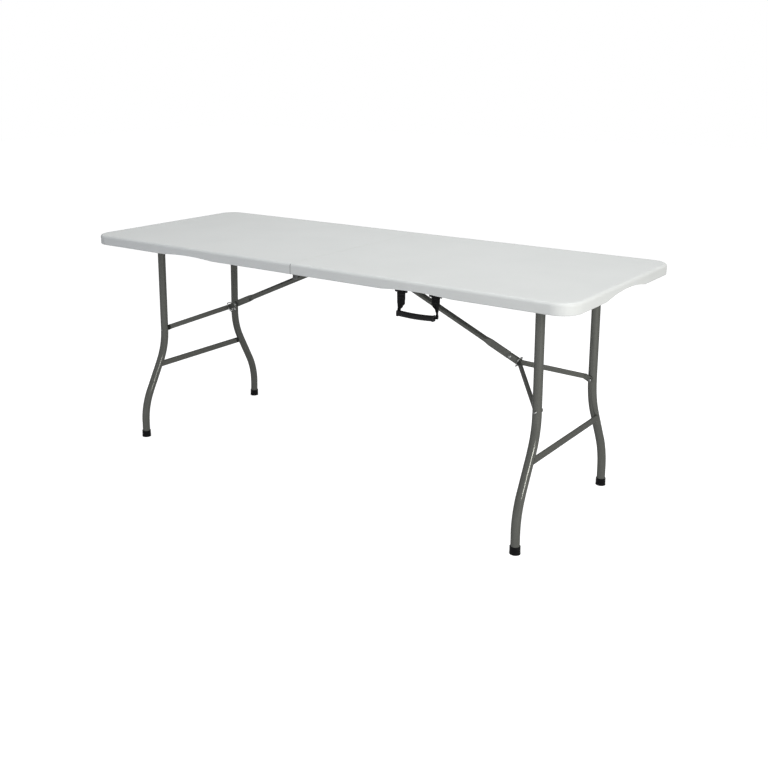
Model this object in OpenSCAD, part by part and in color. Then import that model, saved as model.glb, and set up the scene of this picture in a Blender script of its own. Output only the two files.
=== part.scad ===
// Folding trestle table with a blow-moulded top in two halves.
// Millimetres, +Z up, +X along the table. The origin is on the floor, under
// the middle of the centre seam. Every pair of parts is modelled for the
// right half and the front, then mirrored to the left half and the rear.

/* [Tabletop] */
// Length of the opened tabletop
top_length = 1800; // [1720:10:2000]
// Width of the tabletop
top_width = 700; // [690:10:800]
// Height of the tabletop surface above the floor
table_height = 740; // [720:5:780]
// Depth of the rim, from the tabletop surface to its lower edge
rim_depth = 33; // [32:1:38]
// Width of the rim, from its outer face to its inner face
rim_width = 18; // [15:1:19]
// Thickness of the panel inside the rim
panel_thickness = 6; // [5:0.5:7]
// Plan radius of the four outer corners
corner_radius = 60; // [40:5:90]
// Radius that rolls the tabletop surface into the rim
edge_radius = 9; // [4:1:12]
// Radius along the lower edges of the rim
lower_edge_radius = 3; // [1:0.5:5]
// Gap between the two halves at the centre seam
seam_gap = 0.8; // [0.6:0.1:2]
// Length of the hand hold arched into each end rim
hand_hold_length = 280; // [200:10:360]
// Height of the arch of each end hand hold
hand_hold_depth = 14.5; // [8:0.5:16]
// Length of the relief arched into each long rim at the carry handle
side_relief_length = 230; // [180:10:280]
// Height of the arch of each side relief
side_relief_depth = 6; // [4:0.5:8]
// Width of the groove under the panel that takes the folded brace
brace_groove_width = 32; // [30:1:40]
// Depth of that groove
brace_groove_depth = 3; // [3:0.5:3.5]
// Depth of the thicker fields of the panel below its underside
field_depth = 10; // [6:1:11]

/* [Leg frames] */
// Outer diameter of the leg tube
leg_diameter = 27; // [26:0.5:28]
// Wall of the leg tube
leg_wall = 1.2; // [1:0.1:2]
// Distance between the two legs of a frame at the top
leg_spacing = 372; // [340:4:380]
// Distance between the two feet of a frame
foot_spacing = 590; // [560:2:596]
// Bend radius of the legs
leg_bend_radius = 240; // [200:5:260]
// Angle of the slanted middle part of a leg
leg_bend_angle = 28; // [28:0.5:30]
// Straight length above the floor, before the lower bend
foot_straight = 58; // [50:1:59]
// Outward lean of a standing leg frame, in degrees
leg_lean = 1.6; // [1:0.1:2]
// Diameter of the cross tube that a leg frame turns on
pivot_diameter = 28; // [28:0.5:29]
// Height of that cross tube's axis below the tabletop surface
pivot_drop = 27; // [26:0.5:27]
// Diameter of the journals at its ends, which turn in the rails
journal_diameter = 11; // [10:0.5:12]
// Gap between a folded foot and the seam
foot_seam_gap = 23; // [22:1:40]
// Slope of a folded leg frame, in degrees
folded_slope = 0.6; // [0.5:0.1:0.8]
// Height of the lower crossbar's flat-oval section
crossbar_section_height = 22; // [18:0.5:24]
// Thickness of that section
crossbar_section_thickness = 8; // [7:0.5:9]
// Height of the crossbar's axis above the floor
crossbar_height = 254; // [220:2:260]
// Distance of the crossbar's axis outside the plane of the legs
crossbar_offset = 10; // [9:0.5:11]
// Wall of the rubber-like foot caps
cap_wall = 2; // [1.5:0.25:2.5]
// Height of the foot caps
cap_height = 23; // [20:1:34]

/* [Brace] */
// Outer diameter of the brace tube
brace_diameter = 18.5; // [16:0.5:18.5]
// Wall of the brace tube and of the arms
brace_wall = 1; // [0.8:0.1:1.5]
// Distance of the brace rod's axis from the seam
brace_rod_inset = 12; // [12:0.5:14]
// Height of the brace rod's axis below the tabletop surface
brace_rod_drop = 26; // [25:0.5:27]
// Diameter of the brace rod
brace_rod_diameter = 10; // [8:0.5:10]
// Slope of a folded brace, in degrees
brace_folded_slope = 0.8; // [0.6:0.1:0.8]
// Height of the flattened end of the brace at the arms
brace_flat_height = 23; // [21:0.5:23]
// Height of the flattened end of the brace at the rod
brace_eye_height = 20; // [18:0.5:21]
// Thickness of the flattened ends of the brace
brace_flat_thickness = 5; // [4:0.25:5.5]
// Length of the flattened end of the brace before the rivet
brace_flat_length = 72; // [60:1:90]
// Length of the narrow tongue of the brace past the rivet
tongue_length = 36; // [34:1:38]
// Height of the tongue
tongue_height = 16; // [14:0.5:17]

/* [Arms] */
// Thickness of the flat-oval tube of an arm
arm_thickness = 6; // [5:0.5:7]
// Height of an arm
arm_flat_height = 18; // [16:0.5:18]
// Thickness of an arm's flattened ends
arm_flat_thickness = 4; // [3:0.25:4.5]
// Length of the inner flat of an arm, from the rivet to its bend
arm_flat_length = 36; // [35:1:40]
// Length of the outer flat of an arm, from its bend to the bolt
arm_foot_length = 20; // [16:1:26]
// Height of the arm bolts above the floor
arm_bolt_height = 387; // [385:1:400]
// Shank diameter of the rivets and arm bolts
rivet_diameter = 6; // [5:0.5:7]
// Diameter of the rivet heads
rivet_head_diameter = 10; // [9:0.5:10]

/* [Lock ring] */
// Wire diameter of the lock ring
ring_wire = 3.5; // [3:0.25:3.5]
// Clear height inside the lock ring
ring_clear_height = 25; // [25:0.5:26]
// Clear width inside the lock ring
ring_clear_width = 20; // [20:0.5:22]
// Distance of the ring from the rivet, where it locks the brace
ring_lock_distance = 31; // [30:0.5:32]

/* [Rails and centre hinges] */
// Thickness of the steel of the rails
rail_thickness = 2; // [1.5:0.25:2.5]
// Height of a rail
rail_height = 24.5; // [20:0.5:25]
// Width of a rail's flange
rail_flange = 16; // [12:1:16]
// Gap between a rail and the rim
rail_rim_gap = 4; // [3.5:0.25:5]
// Length of a rail past the cross tube
rail_overrun = 39; // [30:1:45]
// Number of screws in each rail
rail_screws = 6; // [4:1:8]
// Depth of the fold axis below the tabletop surface
fold_axis_drop = 46; // [44:0.5:48]
// Thickness of a centre hinge plate
hinge_plate_thickness = 3; // [2:0.25:3]
// Length of a centre hinge plate
hinge_plate_length = 70; // [60:1:90]
// Radius round the eye of a centre hinge plate
hinge_eye_radius = 7; // [6:0.5:8]
// Diameter of the centre hinge pins
hinge_pin_diameter = 6; // [5:0.5:7]

/* [Carry handle] */
// Distance of the carry handle's middle from the seam
handle_position = 440; // [420:5:460]
// Distance between the two straps
strap_spacing = 112; // [100:2:130]
// Width of a strap
strap_width = 26; // [22:1:30]
// Thickness of a strap
strap_thickness = 2.5; // [2:0.25:3]
// Length of a strap, from its pin to the middle of the grip
strap_length = 62; // [55:1:75]
// Diameter of the grip
grip_diameter = 18; // [15:0.5:22]
// Length of the grip
grip_length = 128; // [124:2:150]
// Depth of the handle pins below the tabletop surface
handle_pin_drop = 36; // [36:0.5:37]
// Diameter of the handle pins
handle_pin_diameter = 3; // [2.5:0.25:3.5]

/* [Fits] */
// Radial clearance of shafts, pins and rivets that turn
running_clearance = 0.05; // [0.02:0.01:0.1]
// Side clearance between faces that slide past each other
side_clearance = 0.3; // [0.2:0.05:0.4]
// Gap between an arm's outer flat and its leg
arm_leg_gap = 0.6; // [0.4:0.1:1]

/* [Hidden] */
$fn = 64;

half_length = top_length / 2;
half_width = top_width / 2;
half_seam = seam_gap / 2;
rim_bottom = table_height - rim_depth;
panel_bottom = table_height - panel_thickness;
groove_top = panel_bottom + brace_groove_depth;
rim_inner_y = half_width - rim_width;
field_turn = 12;
field_gap = 4;
tack_radius = 9;
tack_draft = 3;
tack_depth = field_depth - 3;
tack_pitch = 64;
tack_margin = 24;

leg_radius = leg_diameter / 2;
pivot_radius = pivot_diameter / 2;
pivot_z = table_height - pivot_drop;
leg_run = pivot_z / cos(leg_lean);
pivot_x = leg_run + foot_seam_gap;
leg_top_y = leg_spacing / 2;
foot_y = foot_spacing / 2;
leg_slant = (foot_y - leg_top_y - 2 * leg_bend_radius * (1 - cos(leg_bend_angle))) / sin(leg_bend_angle);
leg_top_straight = leg_run - foot_straight - leg_slant * cos(leg_bend_angle)
  - 2 * leg_bend_radius * sin(leg_bend_angle);
bend_step = 0.2;
bend_overlap = 3;
tube_fn = 48;
leg_fold_angle = 90 + leg_lean - folded_slope;
cap_radius = leg_radius + cap_wall;
cap_sole = 5;

rail_outer_y = rim_inner_y - rail_rim_gap;
rail_inner_y = rail_outer_y - rail_thickness;
rail_bottom = panel_bottom - rail_height;
rail_start = half_seam + 2.6;
rail_end = pivot_x + rail_overrun;
bush_wall = 1.6;
bush_flange = 2.4;
ear_wall = 2;
journal_radius = journal_diameter / 2;
journal_shoulder_y = rail_inner_y - bush_flange - side_clearance;
neck_radius = journal_radius + 3;
neck_run = 9;
neck_taper = 7;
neck_y = journal_shoulder_y - neck_run;
screw_radius = 2;
screw_grip = 4;
screw_margin = 60;
tube_end_y = rail_outer_y + 2;

fold_axis_z = table_height - fold_axis_drop;
hinge_pin_radius = hinge_pin_diameter / 2;
right_plate_y = rail_outer_y;
left_plate_y = rail_inner_y - hinge_plate_thickness;

rod_x = brace_rod_inset;
rod_z = table_height - brace_rod_drop;
rod_radius = brace_rod_diameter / 2;
rod_ear_radius = rod_radius + 4;
rivet_radius = rivet_diameter / 2;
rivet_head_radius = rivet_head_diameter / 2;
rivet_head_height = 2.3;

// The brace linkage in the XZ plane: a rod near the seam carries the brace,
// whose other end carries the two arms that reach the leg bolts. Standing,
// brace and arms lie in one line. The brace length follows from the place of
// the bolts with the leg frame folded.
rod_point = [rod_x, rod_z];
bolt_run = (pivot_z - arm_bolt_height) / cos(leg_lean);
bolt_point = [pivot_x + bolt_run * sin(leg_lean), arm_bolt_height];
bolt_folded = [pivot_x - bolt_run * cos(folded_slope), pivot_z - bolt_run * sin(folded_slope)];
linkage_length = norm(bolt_point - rod_point);
rod_from_bolt = rod_point - bolt_folded;
folded_direction = [cos(brace_folded_slope), sin(brace_folded_slope)];
brace_length = (linkage_length * linkage_length - rod_from_bolt * rod_from_bolt)
  / (2 * (linkage_length + rod_from_bolt * folded_direction));
arm_length = linkage_length - brace_length;
linkage_slope = atan2(rod_z - arm_bolt_height, bolt_point[0] - rod_x);
rivet_point = rod_point + brace_length * [cos(linkage_slope), -sin(linkage_slope)];

// Fields under the panel: x from, x to, y from, y to.
end_field = [
  rail_end + field_gap, half_length - rim_width - field_gap,
  -rim_inner_y + 2 * field_gap, rim_inner_y - 2 * field_gap
];
inner_field = [
  4 * field_turn, pivot_x - bolt_run - 2 * field_turn,
  brace_groove_width / 2 + field_turn, leg_top_y - leg_radius - field_turn
];
seam_rib_y = rail_inner_y - rail_flange - 2;
seam_rib_width = rod_x + rod_radius + 5;

arm_inner_y = brace_flat_thickness / 2 + side_clearance;
arm_outer_y = leg_top_y - leg_radius - arm_leg_gap;
arm_centre_inner_y = arm_inner_y + arm_flat_thickness / 2;
arm_centre_outer_y = arm_outer_y - arm_flat_thickness / 2;
arm_splay = atan2(arm_centre_outer_y - arm_centre_inner_y, arm_length - arm_flat_length - arm_foot_length);
arm_transition = 16;
brace_transition = 24;
brace_eye_length = 28;
brace_flat_nose = 8;

strap_pin_y = -(rim_inner_y - 3);
strap_pin_z = table_height - handle_pin_drop;
strap_eye_radius = handle_pin_diameter / 2 + 1.8;
anchor_thickness = 2;
strap_shift = strap_spacing / 2;
strap_places = [handle_position - strap_shift, handle_position + strap_shift];
strap_gather = 26;
strap_inset = 4;
strap_tab = 10;
grip_collar = 5;
anchor_knuckle = 6;
anchor_width = strap_width + 2 * (anchor_knuckle + side_clearance);
anchor_screw_shift = 12;
anchor_screw_z = panel_bottom - 12;
anchor_head_height = 1.6;

plastic = "#d9dcd9";
steel = "#6b6f6a";
dark_steel = "#4c4e4c";
black = "#1f2022";
zinc = "#b9bcb8";

// Mirrors its children to the left half when left is true.
module on_half(left) {
  if (left) mirror([1, 0, 0]) children();
  else children();
}

// Mirrors its children to the rear when rear is true. The front has y < 0.
module on_side(rear) {
  if (rear) mirror([0, 1, 0]) children();
  else children();
}

// Turns a drawing made in the XY plane to stand in the XZ plane, with its
// thickness running towards -Y from the given y.
module standing(y, thickness) {
  translate([0, y, 0])
    rotate([90, 0, 0])
      linear_extrude(thickness) children();
}

// Outline of a plate that runs from one round end to another.
module tapered_link(p1, r1, p2, r2) {
  run = p2 - p1;
  heading = atan2(run[1], run[0]);
  tilt = acos((r1 - r2) / norm(run));
  up = [cos(heading + tilt), sin(heading + tilt)];
  down = [cos(heading - tilt), sin(heading - tilt)];
  polygon([p1 + r1 * up, p2 + r2 * up, p2 + r2 * down, p1 + r1 * down]);
  translate(p1) circle(r1);
  translate(p2) circle(r2);
}

// ---- Tabletop ----

// Section of the rim, with its outer face on x = 0 and the inside at x < 0.
module rim_section() {
  straight = rim_depth - edge_radius - lower_edge_radius;
  translate([-rim_width, rim_bottom + lower_edge_radius])
    square([rim_width, straight]);
  translate([-rim_width, table_height - edge_radius - 0.01])
    square([rim_width - edge_radius, edge_radius + 0.01]);
  translate([-edge_radius, table_height - edge_radius])
    intersection() {
      circle(edge_radius);
      translate([0, -0.01]) square([edge_radius, edge_radius + 0.01]);
    }
  translate([-rim_width + lower_edge_radius, rim_bottom])
    square([rim_width - 2 * lower_edge_radius, lower_edge_radius + 0.01]);
  for (x = [-rim_width + lower_edge_radius, -lower_edge_radius])
    translate([x, rim_bottom + lower_edge_radius]) circle(lower_edge_radius);
}

// The rim along one long side, from the seam to the corner.
module long_rim() {
  translate([half_seam, 0, 0])
    rotate([90, 0, 90])
      linear_extrude(half_length - corner_radius - half_seam)
        translate([half_width, 0]) rim_section();
}

// The rim across the end, between the two corners.
module end_rim() {
  translate([half_length, half_width - corner_radius, 0])
    rotate([90, 0, 0])
      linear_extrude(top_width - 2 * corner_radius) rim_section();
}

// The rim round one outer corner.
module corner_rim() {
  translate([half_length - corner_radius, half_width - corner_radius, 0])
    rotate_extrude(angle = 90)
      intersection() {
        translate([corner_radius, 0]) rim_section();
        translate([0.02, 0]) square([corner_radius, table_height]);
      }
}

// Plan of the panel inside the rim.
module panel_plan(inset) {
  reach = half_length - inset;
  side = half_width - inset;
  turn = corner_radius - inset;
  translate([half_seam, -side]) square([reach - turn - half_seam, 2 * side]);
  translate([half_seam, -side + turn]) square([reach - half_seam, 2 * (side - turn)]);
  for (y = [-side + turn, side - turn])
    translate([reach - turn, y]) circle(turn);
}

// A thicker field of the panel with rounded corners.
module field(x_from, x_to, y_from, y_to) {
  turn = field_turn;
  translate([0, 0, panel_bottom - field_depth])
    linear_extrude(field_depth + 1) {
      translate([x_from + turn, y_from]) square([x_to - x_from - 2 * turn, y_to - y_from]);
      translate([x_from, y_from + turn]) square([x_to - x_from, y_to - y_from - 2 * turn]);
      for (x = [x_from + turn, x_to - turn], y = [y_from + turn, y_to - turn])
        translate([x, y]) circle(turn);
    }
}

// Rows of pockets in a field, where the moulding's lower wall is pressed up.
module tack_pockets(x_from, x_to, y_from, y_to) {
  columns = floor((x_to - x_from - 2 * tack_margin) / tack_pitch);
  rows = floor((y_to - y_from - 2 * tack_margin) / tack_pitch);
  x_step = (x_to - x_from - 2 * tack_margin) / max(columns, 1);
  y_step = (y_to - y_from - 2 * tack_margin) / max(rows, 1);
  for (i = [0 : columns], j = [0 : rows])
    translate([x_from + tack_margin + i * x_step, y_from + tack_margin + j * y_step, panel_bottom - field_depth - 1])
      cylinder(r1 = tack_radius + tack_draft / tack_depth, r2 = tack_radius - tack_draft, h = tack_depth + 1, $fn = 32);
}

// A shallow arch under a rim, drawn as a slice of a large circle.
module arch(length, height) {
  radius = (length * length / 4 + height * height) / (2 * height);
  translate([0, rim_bottom - radius + height]) circle(radius, $fn = 360);
}

// Place of a screw along a rail.
function rail_screw_x(i) = rail_start + screw_margin
  + i * (rail_end - rail_start - 2 * screw_margin) / (rail_screws - 1);

module top_half() {
  difference() {
    union() {
      for (rear = [false, true])
        on_side(rear) {
          long_rim();
          corner_rim();
        }
      end_rim();
      translate([0, 0, panel_bottom])
        linear_extrude(panel_thickness) panel_plan(edge_radius);
      field(end_field[0], end_field[1], end_field[2], end_field[3]);
      for (rear = [false, true])
        on_side(rear)
          field(inner_field[0], inner_field[1], inner_field[2], inner_field[3]);
      translate([half_seam, -seam_rib_y, panel_bottom - field_depth])
        cube([seam_rib_width, 2 * seam_rib_y, field_depth + 1]);
    }
    tack_pockets(end_field[0], end_field[1], end_field[2], end_field[3]);
    for (rear = [false, true])
      on_side(rear)
        tack_pockets(inner_field[0], inner_field[1], inner_field[2], inner_field[3]);
    // groove for the folded brace
    translate([-1, -brace_groove_width / 2, rim_bottom - 1])
      cube([rivet_point[0] + 120, brace_groove_width, groove_top - rim_bottom + 1]);
    // hand hold in the end rim
    translate([half_length - rim_width - 5, 0, 0])
      rotate([90, 0, 90])
        linear_extrude(rim_width + 6) arch(hand_hold_length, hand_hold_depth);
    // reliefs in the long rims
    translate([handle_position, half_width + 1, 0])
      rotate([90, 0, 0])
        linear_extrude(top_width + 2) arch(side_relief_length, side_relief_depth);
    // pilot holes for the rail screws
    for (rear = [false, true], i = [0 : rail_screws - 1])
      on_side(rear)
        translate([rail_screw_x(i), -(rail_inner_y - rail_flange / 2), panel_bottom - 1])
          cylinder(r = screw_radius, h = screw_grip + 1);
  }
}

// ---- Rails, screws and centre hinges ----

// Web of a rail in the XZ plane, with an ear round the brace rod and an ear
// round the bush of the cross tube.
module rail_web() {
  difference() {
    union() {
      translate([rail_start, rail_bottom]) square([rail_end - rail_start, rail_height]);
      translate([pivot_x, pivot_z]) circle(journal_radius + bush_wall + ear_wall);
      translate(rod_point) circle(rod_ear_radius);
    }
    translate([pivot_x, pivot_z]) circle(journal_radius + running_clearance + bush_wall);
    translate(rod_point) circle(rod_radius);
  }
}

module rail(rear) {
  on_side(rear)
    difference() {
      union() {
        standing(-rail_inner_y, rail_thickness) rail_web();
        translate([rail_start, -rail_inner_y - 0.5, panel_bottom - rail_thickness])
          cube([rail_end - rail_start, rail_flange + 0.5, rail_thickness]);
      }
      for (i = [0 : rail_screws - 1])
        translate([rail_screw_x(i), -(rail_inner_y - rail_flange / 2), panel_bottom - rail_thickness - 1])
          cylinder(r = screw_radius + 0.3, h = rail_thickness + 2);
    }
}

// Pan head screws that hold both rails of a half to the panel.
module half_rail_screws() {
  for (rear = [false, true], i = [0 : rail_screws - 1])
    on_side(rear)
      translate([rail_screw_x(i), -(rail_inner_y - rail_flange / 2), panel_bottom - rail_thickness])
        pan_screw(screw_grip + rail_thickness);
}

// A screw with its shank along +Z and a domed head below z = 0.
module pan_screw(shank) {
  cylinder(r = screw_radius, h = shank);
  mirror([0, 0, 1])
    domed_head(screw_radius * 2, screw_radius * 1.1);
}

// A domed head that stands on z = 0.
module domed_head(radius, height) {
  sphere_radius = (radius * radius + height * height) / (2 * height);
  intersection() {
    cylinder(r = radius, h = height);
    translate([0, 0, height - sphere_radius]) sphere(sphere_radius);
  }
}

// Hinge plate of the right half's front, with its inner face at -y: a strap
// along the rail that drops to the fold axis, with a hole for the brace rod.
module hinge_plate(y) {
  strap_z = panel_bottom - 12;
  difference() {
    union() {
      standing(-y, hinge_plate_thickness)
        tapered_link([8, strap_z], 6, [hinge_plate_length, strap_z], 6);
      standing(-y, hinge_plate_thickness)
        tapered_link([0, fold_axis_z], hinge_eye_radius, [16, strap_z], 6);
      standing(-y, hinge_plate_thickness)
        translate(rod_point) circle(rod_ear_radius);
    }
    translate([half_seam - 20, -y - 10, rim_bottom - 4]) cube([20, 20, rim_depth + 5]);
    translate([0, -y + 1, fold_axis_z])
      rotate([90, 0, 0]) cylinder(r = hinge_pin_radius + running_clearance, h = hinge_plate_thickness + 2);
    translate([rod_x, -y + 1, rod_z])
      rotate([90, 0, 0]) cylinder(r = rod_radius, h = hinge_plate_thickness + 2);
  }
}

module left_hinge_plate(rear) {
  color(dark_steel) on_side(rear) on_half(true) hinge_plate(left_plate_y);
}

module right_hinge_plate(rear) {
  color(dark_steel) on_side(rear) hinge_plate(right_plate_y);
}

// The pins that both hinge plates of a side turn on.
module centre_hinge_pins() {
  pin_start = left_plate_y - 0.2;
  pin_length = right_plate_y + hinge_plate_thickness - left_plate_y + 0.4;
  spacer_length = rail_thickness - 2 * side_clearance;
  color(zinc)
    for (rear = [false, true])
      on_side(rear)
        translate([0, -pin_start, fold_axis_z])
          rotate([90, 0, 0]) {
            cylinder(r = hinge_pin_radius, h = pin_length);
            mirror([0, 0, 1]) domed_head(rivet_head_radius, rivet_head_height);
            translate([0, 0, pin_length]) domed_head(rivet_head_radius, rivet_head_height);
            translate([0, 0, hinge_plate_thickness + 0.2 + side_clearance])
              cylinder(r = rivet_head_radius, h = spacer_length);
          }
}

// ---- Bearings of the leg frames and the braces ----

// Flanged bushes in the rails that carry both journals of the cross tube.
module half_pivot_bushes() {
  bore = journal_radius + running_clearance;
  for (rear = [false, true])
    on_side(rear)
      translate([pivot_x, -(rail_inner_y - bush_flange), pivot_z])
        rotate([90, 0, 0])
          difference() {
            union() {
              cylinder(r = bore + bush_wall, h = bush_flange + rail_thickness);
              cylinder(r = bore + bush_wall + 2, h = bush_flange);
            }
            translate([0, 0, -1]) cylinder(r = bore, h = bush_flange + rail_thickness + 2);
          }
}

// Rod between the two rails of a half that carries the brace.
module half_brace_rod() {
  translate([rod_x, tube_end_y, rod_z])
    rotate([90, 0, 0]) cylinder(r = rod_radius, h = 2 * tube_end_y);
}

// Collars that keep the brace in the middle of its rod.
module half_rod_collars() {
  for (rear = [false, true])
    on_side(rear)
      translate([rod_x, -(brace_flat_thickness / 2 + side_clearance), rod_z])
        rotate([90, 0, 0])
          difference() {
            cylinder(r = rod_radius + 3, h = 5);
            translate([0, 0, -1]) cylinder(r = rod_radius, h = 7);
          }
}

// ---- Leg frames ----

// Moves a leg frame drawn upright under the cross tube to where it stands.
module standing_frame() {
  translate([pivot_x, 0, pivot_z])
    rotate([0, -leg_lean, 0]) children();
}

// Tube that both legs of a frame are welded to. Its ends are necked down to
// journals, and shoulder against the bushes.
module cross_tube() {
  taper_y = neck_y - neck_taper;
  tube_bore = pivot_radius - leg_wall;
  journal_bore = journal_radius - leg_wall;
  standing_frame()
    rotate([90, 0, 0])
      rotate_extrude()
        polygon([
          [journal_radius, -tube_end_y], [journal_radius, -journal_shoulder_y],
          [neck_radius, -journal_shoulder_y], [neck_radius, -neck_y],
          [pivot_radius, -taper_y], [pivot_radius, taper_y],
          [neck_radius, neck_y], [neck_radius, journal_shoulder_y],
          [journal_radius, journal_shoulder_y], [journal_radius, tube_end_y],
          [journal_bore, tube_end_y], [journal_bore, neck_y],
          [tube_bore, taper_y], [tube_bore, -taper_y],
          [journal_bore, -neck_y], [journal_bore, -tube_end_y]
        ]);
}

// One leg as a round bar, drawn with the distance from the middle of the
// table along +X and the height along +Y. Each stretch starts where the one
// before it ends. The straights are a touch thinner than the bends, and run
// into them.
module leg_sweep(radius) {
  straight_radius = radius - bend_step;
  translate([foot_y, -leg_run + cap_sole]) {
    rising_bar(straight_radius, 0, foot_straight - cap_sole + bend_overlap);
    translate([0, foot_straight - cap_sole]) {
      leg_bend(radius);
      after_bend(leg_bend_angle, leg_bend_radius) {
        rising_bar(straight_radius, -bend_overlap, leg_slant + bend_overlap);
        translate([0, leg_slant]) {
          mirror([1, 0, 0]) leg_bend(radius);
          after_bend(-leg_bend_angle, -leg_bend_radius)
            rising_bar(straight_radius, -bend_overlap, leg_top_straight);
        }
      }
    }
  }
}

// A round bar along +Y.
module rising_bar(radius, from, to) {
  translate([0, from, 0])
    rotate([-90, 0, 0]) cylinder(r = radius, h = to - from, $fn = tube_fn);
}

// One bend of a leg, from the origin towards -X.
module leg_bend(radius) {
  translate([-leg_bend_radius, 0])
    rotate_extrude(angle = leg_bend_angle, $fn = 180)
      translate([leg_bend_radius, 0]) circle(radius, $fn = tube_fn);
}

// Moves its children to the end of a bend that starts at the origin.
module after_bend(angle, radius) {
  translate([-radius, 0])
    rotate([0, 0, angle])
      translate([radius, 0]) children();
}

module leg(rear) {
  standing_frame()
    difference() {
      on_side(!rear)
        rotate([90, 0, 90])
          difference() {
            leg_sweep(leg_radius);
            leg_sweep(leg_radius - leg_wall);
          }
      translate([0, tube_end_y, 0])
        rotate([90, 0, 0]) cylinder(r = pivot_radius, h = 2 * tube_end_y);
      on_side(rear)
        translate([0, -leg_top_y + leg_diameter, -bolt_run])
          rotate([90, 0, 0]) cylinder(r = rivet_radius, h = 2 * leg_diameter);
    }
}

// The lower crossbar, with its ends fitted to the slanted legs.
module crossbar() {
  along = pivot_z - crossbar_height;
  standing_frame()
    difference() {
      translate([crossbar_offset, foot_y, -along / cos(leg_lean)])
        rotate([90, 0, 0])
          difference() {
            oval_bar(crossbar_section_thickness, crossbar_section_height, 2 * foot_y);
            translate([0, 0, -1])
              oval_bar(crossbar_section_thickness - 2 * leg_wall, crossbar_section_height - 2 * leg_wall, 2 * foot_y + 2);
          }
      for (rear = [false, true])
        on_side(!rear)
          rotate([90, 0, 90]) outside_of_leg();
    }
}

// A flat-oval bar that stands on the XY plane, with its flat faces facing
// along X.
module oval_bar(thickness, height, length) {
  turn = height / 2 - thickness / 2;
  linear_extrude(length) {
    square([thickness, 2 * turn], center = true);
    for (y = [-turn, turn])
      translate([0, y]) circle(thickness / 2);
  }
}

// Everything from a leg's slanted tube outwards, near the crossbar.
module outside_of_leg() {
  reach = 2 * leg_diameter;
  translate([foot_y, -leg_run + foot_straight])
    after_bend(leg_bend_angle, leg_bend_radius) {
      rising_bar(leg_radius - bend_step, -reach, leg_slant + reach);
      translate([0, -reach, -reach]) cube([2 * reach, leg_slant + 2 * reach, 2 * reach]);
    }
}

// A cap over the end of a leg, with a level sole.
module foot_cap(rear) {
  difference() {
    standing_frame()
      on_side(rear)
        translate([0, -foot_y, -leg_run - 4])
          difference() {
            union() {
              cylinder(r = cap_radius, h = cap_height + 4);
              cylinder(r1 = cap_radius + 0.8, r2 = cap_radius, h = 12);
            }
            translate([0, 0, 4 + cap_sole]) cylinder(r = leg_radius - bend_step, h = cap_height);
          }
    translate([pivot_x - top_width, -top_width, -top_width]) cube([2 * top_width, 2 * top_width, top_width]);
  }
}

// Bolts that carry the arms, one through each leg. Their inner ends stop
// short of the arms, which swing away from them while a frame is folded.
module half_leg_bolts() {
  grip = leg_diameter + 0.2;
  standing_frame()
    for (rear = [false, true])
      on_side(rear)
        translate([0, -(leg_top_y + leg_radius), -bolt_run])
          rotate([-90, 0, 0]) {
            cylinder(r = rivet_radius, h = grip);
            mirror([0, 0, 1]) domed_head(rivet_head_radius + 1, rivet_head_height + 1);
          }
}

// ---- Brace ----

// Moves what is drawn along +X from the rod to where the brace stands.
module standing_brace() {
  translate([rod_x, 0, rod_z])
    rotate([0, linkage_slope, 0]) children();
}

// A brace drawn along +X from its rod, with the tube's ends pressed flat and
// a narrow tongue past the rivet.
module half_brace() {
  tube_start = brace_eye_length + brace_transition;
  tube_run = brace_length - brace_flat_length - brace_transition - tube_start;
  tongue_end = tongue_length - tongue_height / 2;
  standing_brace()
    difference() {
      translate([tube_start, 0, 0]) {
        closed_tube(brace_diameter / 2, tube_run);
        mirror([1, 0, 0])
          pressed_end(brace_diameter / 2, brace_transition, brace_eye_height, brace_flat_thickness)
            flat_bar(brace_eye_length, brace_eye_height, brace_flat_thickness);
        translate([tube_run, 0, 0])
          pressed_end(brace_diameter / 2, brace_transition, brace_flat_height, brace_flat_thickness) {
            flat_bar(brace_flat_length - brace_flat_nose, brace_flat_height, brace_flat_thickness);
            flat_bar(brace_flat_length + tongue_end, tongue_height, brace_flat_thickness);
          }
      }
      cross_hole(0, rod_radius + running_clearance);
      cross_hole(brace_length, rivet_radius);
    }
}

// A tube along +X, closed at both ends.
module closed_tube(radius, length) {
  plug = 2;
  rotate([0, 90, 0])
    difference() {
      cylinder(r = radius, h = length);
      translate([0, 0, plug]) cylinder(r = radius - brace_wall, h = length - 2 * plug);
    }
}

// The stretch along +X in which a tube is pressed from a round to a flat.
// Its children go on at the flat end.
module pressed_end(radius, length, height, thickness) {
  flat_corner = norm([height, thickness]) / 2;
  intersection() {
    rotate([0, 90, 0]) cylinder(r1 = radius, r2 = flat_corner + 0.2, h = length);
    rotate([90, 0, 0]) press_outline(radius, length, height / 2);
    press_outline(radius, length, thickness / 2);
  }
  translate([length, 0, 0]) children();
}

// Outline of a pressed end in one view, extruded to both sides.
module press_outline(radius, length, half_flat) {
  half_round = radius + 0.3;
  linear_extrude(4 * radius, center = true)
    polygon([
      [-1, -half_round], [0, -half_round], [length, -half_flat],
      [length, half_flat], [0, half_round], [-1, half_round]
    ]);
}

// A flat bar along +X with a round far end.
module flat_bar(length, height, thickness) {
  lap = 0.5;
  translate([-lap, -thickness / 2, -height / 2]) cube([length + lap, thickness, height]);
  translate([length, thickness / 2, 0])
    rotate([90, 0, 0]) cylinder(r = height / 2, h = thickness);
}

// A hole along Y.
module cross_hole(x, radius) {
  translate([x, half_width, 0])
    rotate([90, 0, 0]) cylinder(r = radius, h = top_width);
}

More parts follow.
